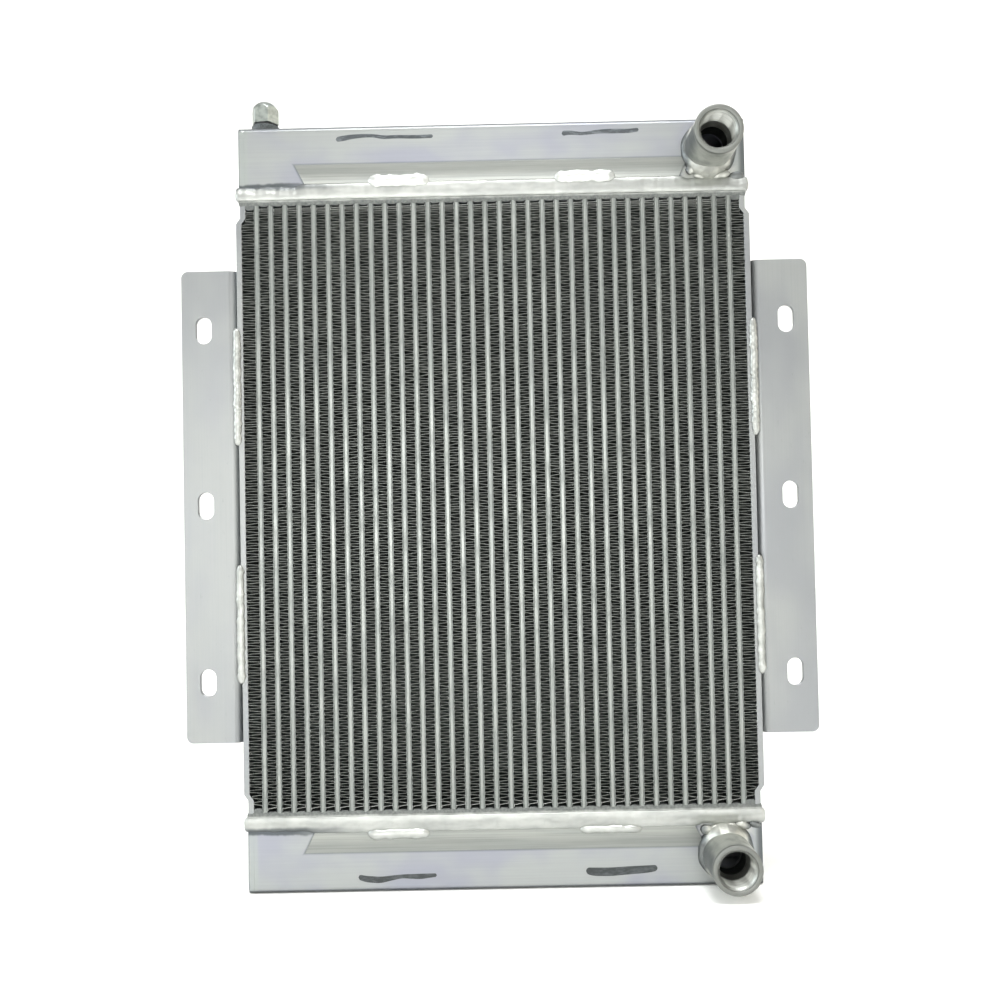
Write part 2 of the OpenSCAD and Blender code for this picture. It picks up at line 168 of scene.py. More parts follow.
def wear_it(material, colour, gloss=None, relief=None, height_mm=0.05, strength=0.15):
    """Links what the layers gave to the shader: the colour, the roughness and a fine relief.
    gloss is a pattern, the two values it goes between, and the roughness at each."""
    shader = material.node_tree.nodes["Principled BSDF"]
    link = material.node_tree.links.new
    link(colour, shader.inputs["Base Color"])
    if gloss:
        pattern, low, high, at_low, at_high = gloss
        link(add(material, "MapRange", {"Value": pattern, "From Min": low, "From Max": high,
                                        "To Min": at_low, "To Max": at_high},
                 interpolation_type="SMOOTHSTEP"), shader.inputs["Roughness"])
    if relief:
        link(add(material, "Bump", {"Height": relief, "Strength": strength,
                                    "Distance": height_mm * MM}), shader.inputs["Normal"])


def patterned(name, grains, dark, pale, at_low, at_high, cover=(0.3, 0.7), relief=(), **sockets):
    """A finish with one pattern, which goes from one colour and roughness to another. relief is
    the height of its grains in mm and how strongly they show."""
    material = new_finish(name, **sockets)
    pattern = grain(material, *grains)
    wear_it(material, layer(material, dark, pale, pattern, *cover),
            (pattern, 0.3, 0.7, at_low, at_high), pattern if relief else None, *relief)
    return material


# %% [markdown]
# ## Sheet that came straight from the rolling mill
# The tanks are folded from cold-rolled sheet. Rolls leave fine lines along the sheet, and the
# alloy is slightly uneven, so big soft patches are a little bluer or greener. The ends were
# dressed with a sanding disc after the caps went on. Painted shade lies along the folds, at the
# right-hand ends, round the stiffening strip and beside each seam bead, thick at the left end. All
# of it lies at known places on the tank, so plain coordinates can mask it: the distance beyond the
# joint of core and tank, the distance from the middle, and the distance from a port's axis.

# %% Where the welds, strips and ends are
joints_z = (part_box("lower_tank")[1].z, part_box("upper_tank")[0].z)
middle_z = sum(joints_z) / 2
half_core = (joints_z[1] - joints_z[0]) / 2
tank_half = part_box("upper_tank_right_cap")[1].x
tank_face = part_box("upper_tank")[0].y
tank_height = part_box("upper_tank")[1].z - joints_z[1]
TANK_FOLD = 4 * MM            # outside radius of the folds along a tank
seam_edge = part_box("upper_seam_weld")[1].z - joints_z[1]
strip_low, strip_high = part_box("upper_stiffener")
strip_from, strip_to = strip_low.z - joints_z[1], strip_high.z - joints_z[1]
STRIP_SLANT = 9 * MM          # how much shorter a strip is along the seam, at each end
port_low, port_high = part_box("upper_port")
ports_x = (port_low.x + port_high.x) / 2
print("the tanks meet the core at", [round(z, 3) for z in joints_z])
print("a seam bead reaches", round(seam_edge / MM, 1), "mm over the joint")


def coordinate(material, axis):
    """Where a spot lies along x, y or z, which are 0, 1 and 2."""
    return add(material, "SeparateXYZ", {0: add(material, "TexCoord", output="Object")}, axis)


def away(material, value, middle=0.0):
    """How far a value is from a middle, on either side."""
    apart = add(material, "Math", {0: value, 1: middle}, operation="SUBTRACT")
    return add(material, "Math", {0: apart}, operation="ABSOLUTE")


def past_joint(material):
    """How far a spot lies beyond the joint of core and tank."""
    from_middle = away(material, coordinate(material, 2), middle_z)
    return add(material, "Math", {0: from_middle, 1: half_core}, operation="SUBTRACT")


# %% Mill-finish aluminium sheet: soft grey, blurred reflections, faint lines along the tank
sheet = new_finish("mill_finish_aluminium_sheet", Metallic=1.0, Roughness=0.42)
beyond, aside = past_joint(sheet), away(sheet, coordinate(sheet, 0))
# real roll lines are about 0.2 mm apart; these are 1.5 mm apart, so that they show
lines = grain(sheet, 110, 1.5, 1.5, 3.0, 0.6)
colour = layer(sheet, "#999ba4", "#a3a6a5", grain(sheet, 62, 62, 45), 0.35, 0.65)
colour = layer(sheet, colour, "#96999c", lines, 0.3, 0.7, 0.2)
# the sanding disc reached about 8 mm in from each end
colour = layer(sheet, colour, "#a2a8a3", aside, tank_half - 9.5 * MM, tank_half - 7 * MM, 0.5)

# %% Painted shade on the folds and on the outer edges of the caps
# painted shade: darker along the outside of each fold and at the caps' outer edges
depth = coordinate(sheet, 1)
past_front = add(sheet, "Math", {0: away(sheet, depth), 1: -tank_face - TANK_FOLD},
                 operation="SUBTRACT")
past_top = add(sheet, "Math", {0: beyond, 1: tank_height - TANK_FOLD}, operation="SUBTRACT")
on_fold = add(sheet, "Math", {0: past_front, 1: past_top}, operation="MINIMUM")
colour = layer(sheet, colour, "#54595c", on_fold, 0.02 * TANK_FOLD, 0.35 * TANK_FOLD, 0.7)
colour = layer(sheet, colour, "#5f6467", aside, tank_half - 1.2 * MM, tank_half - 0.3 * MM, 0.6)

# %% Painted shadow at the right-hand ends of the tanks, beside the ports
right = coordinate(sheet, 0)
colour = layer(sheet, colour, "#45494b", right, tank_half - 7 * MM, tank_half - 2 * MM, 0.75)

# %% Painted shade round the stiffening strips, and pale oxide between the ports' feet and the seam
# below 0 on the strip: its ends slant, and its thin edge is parallel to the seam
slant = STRIP_SLANT / (strip_to - strip_from)
end = add(sheet, "Math", {0: beyond, 1: -slant, 2: slant * strip_to + strip_low.x},
          operation="MULTIPLY_ADD")
past_end = add(sheet, "Math", {0: aside, 1: end}, operation="ADD")
past_edge = add(sheet, "Math", {0: beyond, 1: strip_to}, operation="SUBTRACT")
past_strip = add(sheet, "Math", {0: past_end, 1: past_edge}, operation="MAXIMUM")
foot = add(sheet, "Math", {0: away(sheet, right, ports_x),
                           1: add(sheet, "Math", {0: beyond, 1: 6 * MM})}, operation="MAXIMUM")
# the back has neither strips nor ports
front = add(sheet, "MapRange", {"Value": depth, "From Min": 0, "From Max": -20 * MM,
                                "To Max": 0.6})
# painted shade round each strip's thin edge and slanted ends
colour = layer(sheet, colour, "#5f6467", past_strip, 2.4 * MM, 0.2 * MM, front)
colour = layer(sheet, colour, "#c6c7c0", foot, 26 * MM, 20 * MM, front)

# %% Painted shade beside the seam, thick near the left end and nearly gone elsewhere
thick = add(sheet, "MapRange", {"Value": right, "From Min": -135 * MM, "From Max": -185 * MM,
                                "To Min": 0.2, "To Max": 0.85})
ragged = add(sheet, "Math", {0: grain(sheet, 15, 15, 200, 3.0), 1: 6 * MM}, operation="MULTIPLY")
painted_seam_shade = add(sheet, "Math", {0: ragged, 1: beyond}, operation="SUBTRACT")
colour = layer(sheet, colour, "#4b5053", painted_seam_shade, -seam_edge - 0.6 * MM,
               -seam_edge + 1.6 * MM, thick)
wear_it(sheet, colour, (lines, 0.2, 0.8, 0.38, 0.46), lines, strength=0.06)

# %% [markdown]
# ## Bar, fin and plate
# The closing bars are drawn through a die, so they have streaks along their length, and brazing
# left them slightly grey. The sheets between the passages are duller still, because their
# cladding melted to braze the core. The fins are thin strip that took a darker film in the
# furnace. The brackets and side plates are plate: rolled too, and thicker, so their skin is
# smoother.

# %% Extruded aluminium bar after brazing: satin, streaked along its length
bar_metal = new_finish("brazed_aluminium_bar", Metallic=1.0, Roughness=0.34)
streaks = grain(bar_metal, 1.1, 1.1, 55, 3.0)
film = grain(bar_metal, 17, 17, 22)
colour = layer(bar_metal, "#868a87", "#9b9e9a", streaks, 0.3, 0.7)
colour = layer(bar_metal, colour, "#707472", film, 0.45, 0.8, 0.5)
wear_it(bar_metal, colour, (film, 0.3, 0.7, 0.32, 0.44), streaks)

# %% Clad brazing sheet: duller than the bars, so each bar has a grey line on both sides
sheet_edge_metal = patterned("clad_brazing_sheet", (9, 9, 30, 3.0), "#676b69", "#7b7f7c",
                             0.4, 0.5, Metallic=1.0, Roughness=0.45)

# %% The short closing bars beside the seams: the same bar, darkened as painted shade under the seam
shaded_air_bar_metal = patterned("aluminium_bar_painted_shade", (5, 5, 5, 3.0), "#5f6261", "#7d807e",
                            0.5, 0.65, relief=(0.05, 0.15), Metallic=1.0, Roughness=0.55)

# %% Brazed aluminium strip: dull grey in patches, since the furnace leaves a film
fin_metal = new_finish("furnace_brazed_aluminium_strip", Metallic=1.0, Roughness=0.5)
# one fold's walls are 2.35 mm apart, and each one took the film differently
walls = grain(fin_metal, 11, 80, 3, 2.0, 0.7)
colour = layer(fin_metal, "#6c6f6b", "#959893", walls, 0.3, 0.7)
colour = layer(fin_metal, colour, "#767875", grain(fin_metal, 33, 160, 80), 0.35, 0.7, 0.5)
# dust from the welds settled on the folds near the seams
beyond = past_joint(fin_metal)
colour = layer(fin_metal, colour, "#c3c5c1", beyond, -19 * MM, -10 * MM, 0.8)
wear_it(fin_metal, colour, (walls, 0.3, 0.7, 0.42, 0.6))

# %% Rolled aluminium plate: pale, smooth, with faint upright lines and a few scuffs
plate_metal = new_finish("rolled_aluminium_plate", Metallic=1.0, Roughness=0.4)
lines = grain(plate_metal, 1.4, 1.4, 125, 3.0, 0.6)
patches = grain(plate_metal, 50, 50, 110)
colour = layer(plate_metal, "#909294", "#9a9c9b", patches, 0.35, 0.65)
colour = layer(plate_metal, colour, "#8b9091", lines, 0.35, 0.75, 0.2)
colour = layer(plate_metal, colour, "#7b807f", grain(plate_metal, 4, 4, 11, 4.0, 0.7),
               0.62, 0.72, 0.3)
wear_it(plate_metal, colour, (patches, 0.3, 0.7, 0.38, 0.47), lines, strength=0.05)

# %% The stiffening strips: the same plate, with painted shade towards the thin edge
strip_metal = new_finish("drawn_aluminium_strip", Metallic=1.0, Roughness=0.42)
beyond = past_joint(strip_metal)
lines = grain(strip_metal, 110, 1.5, 1.5, 3.0, 0.6)
colour = layer(strip_metal, "#a3a6a2", "#abada8", grain(strip_metal, 70, 9, 9), 0.35, 0.65)
colour = layer(strip_metal, colour, "#7f827f", beyond, strip_from + 3 * MM,
               strip_to - 5 * MM, 0.55)
colour = layer(strip_metal, colour, "#6d706e", lines, 0.4, 0.7, 0.25)
wear_it(strip_metal, colour, (lines, 0.2, 0.8, 0.38, 0.48), lines, strength=0.06)

# %% [markdown]
# ## Weld metal
# A TIG bead is a row of small pools that froze one after another. Fresh weld metal is whiter and
# finer than the sheet around it, and its skin is lightly frosted. Beside it lies a dull grey toe
# where the arc cleaned the surface. The shape of a bead is real mesh below; the finish only adds
# the frosting and the toe.

# %% TIG weld metal: white and frosted
def frosted(name, roughness, patches, dark, pale, pitted, share):
    """A weld metal in soft patches from dark to pale, with a share of small dull pits. Gives the
    finish, its colour and the frost."""
    material = new_finish(name, Metallic=1.0, Roughness=roughness)
    frost = grain(material, 2.4, 2.4, 2.4, 3.0, 0.6)
    colour = layer(material, dark, pale, grain(material, *patches), 0.3, 0.7)
    return material, layer(material, colour, pitted, frost, 0.6, 0.85, share), frost


weld_metal, colour, frost = frosted("tig_weld_aluminium", 0.42, (14, 14, 11), "#a6a8a4",
                                    "#bec0bc", "#999c99", 0.35)
wear_it(weld_metal, colour, (frost, 0.3, 0.7, 0.38, 0.5), frost, 0.12, 0.2)

# %% Weld metal brushed bright, and paler as painted light, for the upper short beads on the strips
brushed_lit_weld_metal = patterned("brushed_weld_aluminium_painted_light", (9, 2, 2, 3.0), "#c4c6c2", "#dcdedb",
                              0.4, 0.55, relief=(0.08, 0.15), Metallic=1.0, Roughness=0.45)

# %% The same weld metal with a dull toe on the core, for the two long seams
seam_metal, colour, frost = frosted("tig_weld_aluminium_with_toe", 0.45, (22, 22, 9), "#a8aaa7",
                                    "#bcbeba", "#8c8f8c", 0.3)
beyond = past_joint(seam_metal)
# the toe starts about 4.6 mm from the joint, on the core's side, with a ragged edge
ragged = add(seam_metal, "Math", {0: grain(seam_metal, 8, 8, 50, 3.0), 1: 2.4 * MM},
             operation="MULTIPLY")
ragged = add(seam_metal, "Math", {0: ragged, 1: beyond}, operation="ADD")
dull = layer(seam_metal, "#646765", "#838683", frost, 0.2, 0.8)
colour = layer(seam_metal, colour, dull, ragged, -3.4 * MM, -6 * MM)

# %% Painted shade on the seam's upper edge, near the left end
thick = add(seam_metal, "MapRange", {"Value": coordinate(seam_metal, 0), "From Min": -120 * MM,
                                     "From Max": -175 * MM, "To Max": 0.8})
shaded_seam_edge = add(seam_metal, "Math", {0: grain(seam_metal, 15, 15, 200, 3.0), 1: 4 * MM},
                 operation="MULTIPLY")
shaded_seam_edge = add(seam_metal, "Math", {0: shaded_seam_edge, 1: beyond}, operation="ADD")
colour = layer(seam_metal, colour, "#565b5e", shaded_seam_edge, seam_edge - 4 * MM,
               seam_edge - 0.4 * MM, thick)
wear_it(seam_metal, colour, (ragged, -6 * MM, -3.4 * MM, 0.62, 0.48), frost, 0.12, 0.2)

# %% [markdown]
# ## Small parts
# The ports were turned on a lathe, which leaves rings round their axis. The weld's heat left a
# thin oxide on them, which scatters some light, so they aren't quite metallic. Their bores were
# cut last and are brighter, and the passage behind is dark and matt as painted shade. The ports'
# flanks and the welds round them carry painted shade on both sides. The bleed plug is steel with
# a zinc plating, grey-white and slightly cloudy. Its adapter is phosphated steel, nearly black
# and dry to the eye. The seal is rubber.

# %% Lathe-turned aluminium: faint rings, mottled where the weld's heat reached it
turned_metal = new_finish("turned_aluminium", Metallic=0.85, Roughness=0.5)
# a real feed mark is 0.15 mm wide; these rings are 0.9 mm, so that they show
rings = grain(turned_metal, 40, 0.9, 40)
colour = layer(turned_metal, "#b0b2ac", "#bec0b9", rings, 0.3, 0.7)
colour = layer(turned_metal, colour, "#878a86", grain(turned_metal, 9, 9, 9, 3.0), 0.42, 0.7, 0.5)

# %% A duller lip, and painted shade on the ports' flanks behind it
behind_lip = add(turned_metal, "MapRange", {"Value": coordinate(turned_metal, 1),
                                            "From Min": port_low.y + 1 * MM,
                                            "From Max": port_low.y + 6 * MM, "To Max": 0.75})
colour = layer(turned_metal, "#7c7e7a", colour, behind_lip, 0.02, 0.6)
flank = away(turned_metal, coordinate(turned_metal, 0), ports_x)
colour = layer(turned_metal, colour, "#5b6062", flank, 15 * MM, 20.5 * MM, behind_lip)
wear_it(turned_metal, colour, (rings, 0.3, 0.7, 0.45, 0.58), rings, 0.06, 0.08)

# %% The bores: the same metal, cut last, so it is still bright
cut_metal = patterned("freshly_cut_aluminium", (40, 0.9, 40), "#a9aba6", "#bdbfba", 0.36, 0.46,
                      relief=(0.06, 0.08), Metallic=0.9, Roughness=0.4)

# %% The welds round the ports: frosted like the others, with painted shade on both sides
port_weld_metal, colour, frost = frosted("frosted_weld_aluminium_painted_shade", 0.45, (9, 9, 9), "#a8a9a3",
                                         "#c4c5be", "#8c8e89", 0.35)
flank = away(port_weld_metal, coordinate(port_weld_metal, 0), ports_x)
colour = layer(port_weld_metal, colour, "#575c5f", flank, 15 * MM, 20 * MM, 0.8)
wear_it(port_weld_metal, colour, (frost, 0.3, 0.7, 0.4, 0.55), frost, 0.12, 0.2)

# %% The passage: dark and matt, painted shade deep behind the thread
passage_metal = patterned("passage_painted_shade", (2, 2, 2, 3.0), "#2c2e2c", "#454845",
                          0.6, 0.8, relief=(0.05, 0.2), Metallic=1.0, Roughness=0.7)

# %% Zinc-plated steel: cloudy grey-white with soft glints
zinc = patterned("zinc_plated_steel", (4.5, 4.5, 4.5, 3.0), "#8c928e", "#aab0ab", 0.28, 0.44,
                 Metallic=1.0, Roughness=0.34)

# %% Phosphated steel: nearly black, with a dry crystalline skin
phosphate = patterned("phosphated_steel", (1.1, 1.1, 1.1), "#2c3132", "#4a5152", 0.42, 0.6,
                      cover=(0.35, 0.65), relief=(0.05, 0.2), Roughness=0.5, IOR=1.6)

# %% Nitrile rubber: black and slightly dusty
rubber = patterned("nitrile_rubber", (2, 2, 2, 3.0), "#191a1b", "#3a3c3d", 0.5, 0.7,
                   cover=(0.45, 0.75), Roughness=0.6, IOR=1.5)

# %% Marker ink: dark where it is thick, and grey where it has worn off the sheet
inks = {kind: patterned(kind + "_marker_ink", (9, 9, 2.5, 3.0, 0.7), thick, thin, 0.42, 0.6,
                        cover=(0.4, 0.7), Roughness=0.5, IOR=1.5)
        for kind, thick, thin in (("fresh", "#2c3031", "#4c5152"), ("worn", "#3b4044", "#666b6f"))}

# %% [markdown]
# ## Meshes from rows of points
# Almost everything made here is a skin over rows of points: a weld bead is one outline carried
# along a line, and a turned port is one ring carried along its axis. So one function joins rows,
# and turns the faces outward by checking the sign of the volume. A skin that meets itself needs
# no end caps.

# %% Skins and pieces
def outward(points, faces):
    """The faces, turned round if together they enclose a negative volume."""
    tris = np.array([(f[0], f[k], f[k + 1]) for f in faces for k in range(1, len(f) - 1)])
    a, b, c = (points[tris[:, k]] for k in range(3))
    if (a * np.cross(b, c)).sum() < 0:
        faces = [f[::-1] for f in faces]
    return faces


def skin(rows, ring=False):
    """Points and faces over rows of closed outlines. A ring's last row meets its first, and any
    other skin gets a cap at each end."""
    rows = np.asarray(rows, float)
    count, across = rows.shape[:2]
    a = np.arange(count if ring else count - 1)[:, None]
    j = np.arange(across)[None, :]
    here, after, beside = a * across, (a + 1) % count * across, (j + 1) % across
    faces = np.stack([here + j, here + beside, after + beside, after + j], -1)
    faces = faces.reshape(-1, 4).tolist()
    if not ring:
        last = (count - 1) * across
        faces += [list(range(across))[::-1], list(range(last, last + across))]
    points = rows.reshape(-1, 3)
    return points, outward(points - points.mean(0), faces)


def mesh_object(name, points, faces, finish):
    """An object whose mesh has these points, faces and finish."""
    mesh = bpy.data.meshes.new(name)
    mesh.from_pydata(points.tolist(), [], faces)
    mesh.materials.append(finish)
    return new_object(name, mesh)


def piece(name, shells, finish, replaced=(), crease=40, body="cooler"):
    """One object from several closed shells, riding on a body of the solid model. Edges sharper
    than crease, in degrees, stay sharp."""
    points, faces, start = [], [], 0
    for shell_points, shell_faces in shells:
        points.append(shell_points)
        faces += [[start + v for v in face] for face in shell_faces]
        start += len(shell_points)
    made = mesh_object(name, np.concatenate(points), faces, finish)
    if crease:
        made.data.shade_smooth()
        made.data.set_sharp_from_angle(angle=radians(crease))
    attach(made, body)
    if replaced:
        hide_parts(*replaced)
    print(name, "has", len(faces), "faces")
    return made


def wander(s, bump, seed, span=None):
    """A smooth value from about -1 to 1 along s, with bumps about this long. Given a span, it comes
    back to its start there, as a bead round a tank does."""
    starts = np.random.default_rng(abs(seed)).uniform(0, 2 * pi, 5)
    rates = np.array([0.43, 0.71, 1.0, 1.37, 1.93]) / bump
    if span:
        rates = np.maximum(1, np.round(rates * span)) / span
    return sum(np.sin(2 * pi * rate * np.asarray(s) + start)
               for rate, start in zip(rates, starts)) / 3


# %% [markdown]
# ## The air fins
# Each air passage holds one long strip, folded like a paper fan and brazed to the plates on both
# sides, with a small flat land on every crest. From the side the strip is wavy too, in a
# herringbone, which stirs the air and keeps light from passing straight through. The solid model
# has fewer and straight folds, because each one there is an exact solid. Here the strip gets its
# true spacing: 4.7 mm for a whole fold. Modelling it as one outline carried from front to back
# in a few zigzag steps keeps it light and closed.

# %% One folded strip
FOLD = 4.7 * MM
STRIP_T = 0.3 * MM            # real strip is 0.15 mm, too thin to show as a line
LAND = 0.8 * MM               # half the flat length on a crest
WAVE = 1.95 * MM              # half the height of the herringbone
WAVE_STEPS = 6


def folded_strip(middle_x, z_low, z_high, y_front, y_back, half_width, seed, far_side=None):
    """A folded strip between two plates. far_side(z) gives how far the plate on the right stands
    in, where it isn't straight."""
    crests = 2 * int((z_high - z_low) / FOLD)
    gap = (z_high - z_low) / crests
    turn = np.arange(crests)
    at = z_low + gap * (turn + 0.5)
    at = at + 0.16 * gap * wander(at, 9 * MM, seed) * np.sin(pi * (turn + 0.5) / crests)
    right = turn % 2 == 1
    rows = []
    room = np.clip(np.minimum(at - z_low, z_high - at) / (9 * MM), 0.1, 1)
    for step in range(WAVE_STEPS + 1):
        bend = WAVE * (1 - 2 * (step % 2)) * room      # no wave where the strip meets the bars
        lift = at + bend + 0.12 * gap * wander(at, 30 * MM, seed + 7 * step + 1)
        depth = y_front + (y_back - y_front) * step / WAVE_STEPS
        inset = far_side(lift) if far_side else np.zeros(crests)
        outline = []
        for side in (0, 1):       # the strip's left face going up, then its right face going down
            sign = np.where(right, 1, -1)
            wall_x = np.where(right, half_width - inset, half_width)
            outer = right == (side == 1)
            land = np.where(outer, LAND + STRIP_T / 2, LAND - STRIP_T / 2)
            face_x = sign * (wall_x - np.where(outer, 0, STRIP_T))
            pair = np.stack([np.stack([face_x, lift - land], -1),
                             np.stack([face_x, lift + land], -1)], 1).reshape(-1, 2)
            outline.append(pair if side == 0 else pair[::-1])
        flat = np.concatenate(outline)
        rows.append(np.stack([middle_x + flat[:, 0], np.full(len(flat), depth), flat[:, 1]], -1))
    points, faces = skin(rows)
    # the ends are long and hollow-sided, so they are closed with a ladder of small faces
    around, last = len(rows[0]), WAVE_STEPS * len(rows[0])
    ladder = [[k, k + 1, around - 2 - k, around - 1 - k] for k in range(around // 2 - 1)]
    faces = [f for f in faces if len(f) == 4]
    faces += ladder + [[last + v for v in face[::-1]] for face in ladder]
    return points, faces


# %% Fill the passages
plates_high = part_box("separator_plates")[1]
bars_low, bars_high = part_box("front_oil_bars")
OIL_PASSAGES, BAR_W = 34, 3 * MM
AIR_BAR_H = 10 * MM           # the fins reach from one short closing bar to the other
fins_low, fins_high = joints_z[0] + AIR_BAR_H, joints_z[1] - AIR_BAR_H
pitch = (bars_high.x - bars_low.x - BAR_W) / (OIL_PASSAGES - 1)
for part in ("left", "middle", "right"):
    low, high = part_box("air_fins_" + part)
    columns = round((high.x - low.x) / pitch)
    width = high.x - low.x - (columns - 1) * pitch
    shells = [folded_strip(low.x + width / 2 + k * pitch, fins_low, fins_high, low.y, high.y,
                           width / 2, round((low.x + k * pitch) / MM) + 500)
              for k in range(columns)]
    piece("folded_air_fins_" + part, shells, fin_metal, ["air_fins_" + part],
          crease=0)
print("air passages are", round(width / MM, 2), "mm wide,", round(pitch / MM, 2), "mm apart")

# %% [markdown]
# The outermost strips are wider, and the side plates beside them step in near both ends, so the
# strip narrows there. The same function makes them, with the plate's line as an extra; the left
# one is the right one mirrored.

# %% The outermost strips
low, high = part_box("edge_fins")
width = high.x - plates_high.x
fins_low, fins_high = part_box("lower_air_bars")[1].z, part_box("upper_air_bars")[0].z
STEP_IN, STEP_AT, STEP_SLOPE = 3.6 * MM, 25 * MM, 5 * MM    # depth, distance from end, slope
STEP_GAP = 1.2 * MM           # the strip narrows this much before the plate does


def plate_line(z):
    """How far the side plate stands in at a height: nothing in the middle, a step at both ends."""
    into = (np.abs(z - middle_z) + STEP_GAP - (half_core - STEP_AT)) / STEP_SLOPE
    return STEP_IN * np.clip(into, 0, 1)


points, faces = folded_strip(plates_high.x + width / 2, fins_low, fins_high, low.y, high.y,
                             width / 2, 77, plate_line)
mirrored = points * [-1, 1, 1]
piece("folded_air_fins_edges", [(points, faces), (mirrored, [f[::-1] for f in faces])],
      fin_metal, ["edge_fins"], crease=0)

# %% [markdown]
# ## Weld beads
# Three forms cover every weld here. A bead in a corner between two long surfaces is a half-round
# carried along a line, swelling a little with each drop of filler. A fillet round a port is a
# triangle carried round a circle. The seam between core and tank is a wide band carried round
# the whole cooler. The drops show as ripples: low waves, bowed like fish scales because the pool
# freezes from its back edge.

# %% A straight bead
RIPPLE = 6 * MM               # from one drop of filler to the next
ROW = 0.8 * MM                # from one outline of a bead to the next
BOW = 1.5 * MM                # how far a ripple's middle runs ahead of its sides
DRIFT = 0.35 * MM             # how far a bead strays from its line


def bead(start, end, side, out, half_w, height, seed, taper=7 * MM, rippled=0.045):
    """A rippled half-round bead from start to end, lying across side and standing out along out."""
    start, end, side, out = (np.array(v, float) for v in (start, end, side, out))
    length = np.linalg.norm(end - start)
    along = (end - start) / length
    rows = []
    steps = int(length / ROW)
    turn = np.linspace(0, 2 * pi, 20, endpoint=False)
    for s in np.linspace(0, length, steps + 1):
        near = min(s, length - s)
        full = max(0.06, min(1, 1 - (1 - min(1, near / taper)) ** 2) ** 0.5)
        bowed = s + BOW * np.cos(turn)
        ripple = 1 + rippled * np.sin(2 * pi * (bowed / RIPPLE) + wander(s, 25 * MM, seed + 3))
        swell = 1 + 0.1 * wander(s, 16 * MM, seed)
        drift = DRIFT * wander(s, 22 * MM, seed + 9)
        across = (half_w * swell * ripple * np.sin(turn) * full + drift)[:, None]
        stand = (height * ripple * np.cos(turn) * full)[:, None]
        rows.append(start + s * along + across * side + stand * out)
    return skin(rows)


# %% Beads beside the stiffening strips
for part in ("upper", "lower"):
    low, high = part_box(part + "_stitch_welds")
    top = 1 if part == "upper" else -1
    shells = []
    half, y = 27 * MM, tank_face - 2.9 * MM       # half a bead's length, and the strip's middle
    # the upper ones reach further over the strip; the lower right one is the thinnest
    sizes = ((-2.1, 5.8), (-1.9, 5.7)) if part == "upper" else ((-1.6, 4.6), (-2.2, 3.6))
    for k, (middle, (shift, half_w)) in enumerate(zip((low.x + half, high.x - half), sizes)):
        z = (low.z + high.z) / 2 + top * shift * MM
        shells.append(bead((middle - half, y, z), (middle + half, y, z), (0, 0, 1), (0, -1, 0),
                           half_w * MM, 3.7 * MM, 11 * k + 3 * top, 8 * MM, 0.015))
    # the upper beads get the paler weld metal, which is painted light
    piece(part + "_stitch_beads", shells, brushed_lit_weld_metal if part == "upper" else weld_metal,
          [part + "_stitch_welds"])

# %% Beads that hold the brackets
BRACKET_BEAD = 104 * MM       # length of one bead
for part, side_x in (("left", -1), ("right", 1)):
    low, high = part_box(part + "_bracket_welds")
    leg_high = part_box(part + "_bracket")[1]
    plate_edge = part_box(part + "_side_plate")[0 if side_x < 0 else 1].x
    middle, span = (low.z + high.z) / 2, (high.z - low.z)
    shells = []
    front = (plate_edge + side_x * 0.6 * MM, -34 * MM)
    rear = (plate_edge + side_x * 1.2 * MM, leg_high.y - 0.6 * MM)
    for k, up in enumerate((-1, 1)):
        far, near = middle + up * span / 2, middle + up * (span / 2 - BRACKET_BEAD)
        shells.append(bead((*front, near), (*front, far), (1, 0, 0), (0, -1, 0), 3.7 * MM,
                           3.6 * MM, 31 * k + side_x))
        shells.append(bead((*rear, near), (*rear, far), (1, 0, 0), (0, 1, 0), 3.4 * MM,
                           3.6 * MM, 47 * k + side_x))
    piece(part + "_bracket_beads", shells, weld_metal,
          [part + "_bracket_welds"])

# %% [markdown]
# A fillet round a port or a boss has two legs, one on the tube and one on the tank, with a
# slightly full face between them.

# %% A fillet ring
SUNK = 0.6 * MM               # how far a fillet reaches into the tube and the tank


def fillet(centre, axis, side, radius, leg, seed, fuller=0.0, climb=0.0, fullness=0.2):
    """A fillet round a tube of this radius, standing on a plane at centre. Towards side, its leg
    on the plane is longer by the share fuller, and its leg on the tube by the share climb.
    fullness is how far its face bulges."""
    centre, axis, side = (np.array(v, float) for v in (centre, axis, side))
    other = np.cross(axis, side)
    around = 2 * pi * radius
    count = int(around / ROW)
    drops = round(around / RIPPLE)
    rows = []
    for turn in np.linspace(0, 2 * pi, count, endpoint=False):
        outward_dir = cos(turn) * side + sin(turn) * other
        size = leg * (1 + 0.13 * wander(turn, 1.3, seed, 2 * pi))
        toward_side = max(0, cos(turn)) ** 2
        flat_leg, tube_leg = size * (1 + fuller * toward_side), size * (1 + climb * toward_side)
        outline = [(-SUNK, -SUNK), (-SUNK, tube_leg)]
        for t in np.linspace(0, 1, 11):
            bulge = size * (fullness + 0.035 * sin(drops * turn + 9 * t * (1 - t))) * sin(pi * t)
            outline.append((flat_leg * t + 0.7 * bulge, tube_leg * (1 - t) + 0.7 * bulge))
        outline.append((flat_leg, -SUNK))
        rows.append([centre + (radius + a) * outward_dir + b * axis for a, b in outline])
    return skin(rows, ring=True)


